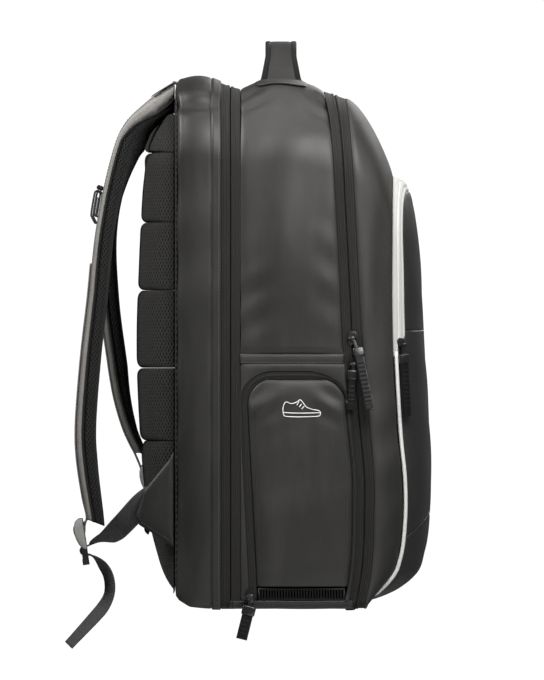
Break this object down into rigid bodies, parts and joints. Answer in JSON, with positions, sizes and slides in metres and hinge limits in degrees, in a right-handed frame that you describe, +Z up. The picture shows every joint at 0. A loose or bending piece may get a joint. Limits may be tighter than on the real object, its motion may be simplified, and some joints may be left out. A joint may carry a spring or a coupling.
{
  "type": "racket backpack",
  "caption": "Tall backpack with a rear racket compartment, side shoe door, main and front zips, padded straps and a carry handle",
  "frame": {"origin": "underside of the carry handle's grip, in the bag's middle plane", "axes": "+Z up, -Y to the front of the bag, -X to the wearer's left"},
  "size_m": [0.3494, 0.3706, 0.6067],
  "materials": {
    "coated_fabric": "coated, soft sheen",
    "smooth_fabric": "smooth, dark",
    "zip_tape": "ribbed tape",
    "white_zip": "white tape",
    "mesh": "spacer mesh",
    "strap_fabric": "woven",
    "stiffener": "hidden board",
    "moulded_black": "moulded"
  },
  "bodies": {
    "main_bag": {"main_gusset": "coated_fabric", "shoe_surround": "coated_fabric", "shoe_zip_tape": "zip_tape", "vent_grille": "smooth_fabric", "base_panel": "coated_fabric", "base_board": "stiffener", "divider_panel": "stiffener", "shoe_tunnel": "smooth_fabric", "handle_band": "strap_fabric", "handle_binding_front": "zip_tape", "handle_binding_rear": "zip_tape", "handle_patch": "coated_fabric", "racket_zip_tape_front": "zip_tape", "main_zip_tape_rear": "zip_tape"},
    "racket_shell": {"racket_gusset": "coated_fabric", "back_panel": "smooth_fabric", "back_sheet": "stiffener", "back_pad_1": "mesh", "back_pad_2": "mesh", "back_pad_3": "mesh", "back_pad_4": "mesh", "back_pad_5": "mesh", "back_pad_6": "mesh", "wing_left": "coated_fabric", "wing_right": "coated_fabric", "racket_zip_tape_rear": "zip_tape", "webbing_left": "strap_fabric", "webbing_right": "strap_fabric"},
    "front_shell": {"front_gusset": "coated_fabric", "main_zip_tape_front": "zip_tape", "pocket_zip_tape": "white_zip", "piping": "white_zip", "pocket_wall": "smooth_fabric", "lower_front_panel": "smooth_fabric", "toe_panel": "smooth_fabric"},
    "pocket_flap": {"pocket_flap": "smooth_fabric"},
    "shoe_flap": {"shoe_flap": "coated_fabric"},
    "strap_left": {"strap_shell_left": "strap_fabric", "strap_pad_left": "mesh", "strap_overlay_left": "strap_fabric", "keeper_left": "zip_tape", "keeper_bar_left": "moulded_black"},
    "buckle_left": {"ladder_lock_left": "moulded_black"},
    "strap_right": {"strap_shell_right": "strap_fabric", "strap_pad_right": "mesh", "strap_overlay_right": "strap_fabric", "keeper_right": "zip_tape", "keeper_bar_right": "moulded_black"},
    "buckle_right": {"ladder_lock_right": "moulded_black"},
    "shoe_slider": {"shoe_slider": "moulded_black"},
    "shoe_pull": {"shoe_pull": "moulded_black"},
    "main_slider_upper": {"main_slider_upper": "moulded_black"},
    "main_pull_upper": {"main_pull_upper": "moulded_black"},
    "main_slider_lower": {"main_slider_lower": "moulded_black"},
    "main_pull_lower": {"main_pull_lower": "moulded_black"},
    "pocket_slider": {"pocket_slider": "moulded_black"},
    "pocket_pull": {"pocket_pull": "moulded_black"},
    "racket_slider": {"racket_slider": "moulded_black"},
    "racket_pull": {"racket_pull": "moulded_black"}
  },
  "joints": [
    {"name": "racket_shell_open", "type": "hinge", "parent": "main_bag", "child": "racket_shell", "pos_m": [0, 0.06, -0.5655], "axis": [-1, 0, 0], "range_deg": [0, 75]},
    {"name": "front_shell_open", "type": "hinge", "parent": "main_bag", "child": "front_shell", "pos_m": [0, -0.074, -0.566], "axis": [1, 0, 0], "range_deg": [0, 70]},
    {"name": "pocket_flap_open", "type": "hinge", "parent": "front_shell", "child": "pocket_flap", "pos_m": [0, -0.1445, -0.2862], "axis": [1, 0, 0], "range_deg": [0, 60]},
    {"name": "shoe_flap_open", "type": "hinge", "parent": "main_bag", "child": "shoe_flap", "pos_m": [-0.1606, 0, -0.542], "axis": [0, -1, 0], "range_deg": [0, 95]},
    {"name": "strap_swing_left", "type": "hinge", "parent": "racket_shell", "child": "strap_left", "pos_m": [-0.062, 0.109, -0.04], "axis": [1, 0, 0], "range_deg": [0, 20], "deforming": ["webbing_left"]},
    {"name": "buckle_tilt_left", "type": "hinge", "parent": "strap_left", "child": "buckle_left", "pos_m": [-0.096, 0.201, -0.481], "axis": [1, 0, 0], "range_deg": [-5, 30], "deforming": ["webbing_left"]},
    {"name": "strap_swing_right", "type": "hinge", "parent": "racket_shell", "child": "strap_right", "pos_m": [0.062, 0.109, -0.04], "axis": [1, 0, 0], "range_deg": [0, 20], "deforming": ["webbing_right"]},
    {"name": "buckle_tilt_right", "type": "hinge", "parent": "strap_right", "child": "buckle_right", "pos_m": [0.124, 0.136, -0.426], "axis": [1, 0, 0], "range_deg": [-5, 30], "deforming": ["webbing_right"]},
    {"name": "shoe_slider_run", "type": "slide", "parent": "main_bag", "child": "shoe_slider", "axis": [0, 0.0469, 0.9989], "range_m": [0, 0.18]},
    {"name": "shoe_pull_swing", "type": "hinge", "parent": "shoe_slider", "child": "shoe_pull", "pos_m": [-0.1645, 0.0305, -0.552], "axis": [0, 0.9989, -0.0469], "range_deg": [0, 150]},
    {"name": "main_slider_upper_run", "type": "slide", "parent": "main_bag", "child": "main_slider_upper", "axis": [0, 0.0509, 0.9987], "range_m": [0, 0.155]},
    {"name": "main_pull_upper_swing", "type": "hinge", "parent": "main_slider_upper", "child": "main_pull_upper", "pos_m": [-0.1645, -0.07113, -0.294], "axis": [0, 0.9987, -0.0509], "range_deg": [0, 150]},
    {"name": "main_slider_lower_run", "type": "slide", "parent": "main_bag", "child": "main_slider_lower", "axis": [0, -0.0963, -0.9954], "range_m": [0, 0.09]},
    {"name": "main_pull_lower_swing", "type": "hinge", "parent": "main_slider_lower", "child": "main_pull_lower", "pos_m": [-0.1645, -0.07287, -0.32], "axis": [0, 0.9954, -0.0963], "range_deg": [0, 150]},
    {"name": "pocket_slider_run", "type": "slide", "parent": "front_shell", "child": "pocket_slider", "axis": [0, 0, 1], "range_m": [0, 0.09]},
    {"name": "pocket_pull_swing", "type": "hinge", "parent": "pocket_slider", "child": "pocket_pull", "pos_m": [-0.14202, -0.1225, -0.301], "axis": [-0.7408, 0.6717, 0], "range_deg": [0, 150]},
    {"name": "racket_slider_run", "type": "slide", "parent": "main_bag", "child": "racket_slider", "axis": [0, 0, 1], "range_m": [0, 0.364]},
    {"name": "racket_pull_swing", "type": "hinge", "parent": "racket_slider", "child": "racket_pull", "pos_m": [0.1645, 0.0505, -0.509], "axis": [0, -1, 0], "range_deg": [0, 150]}
  ]
}
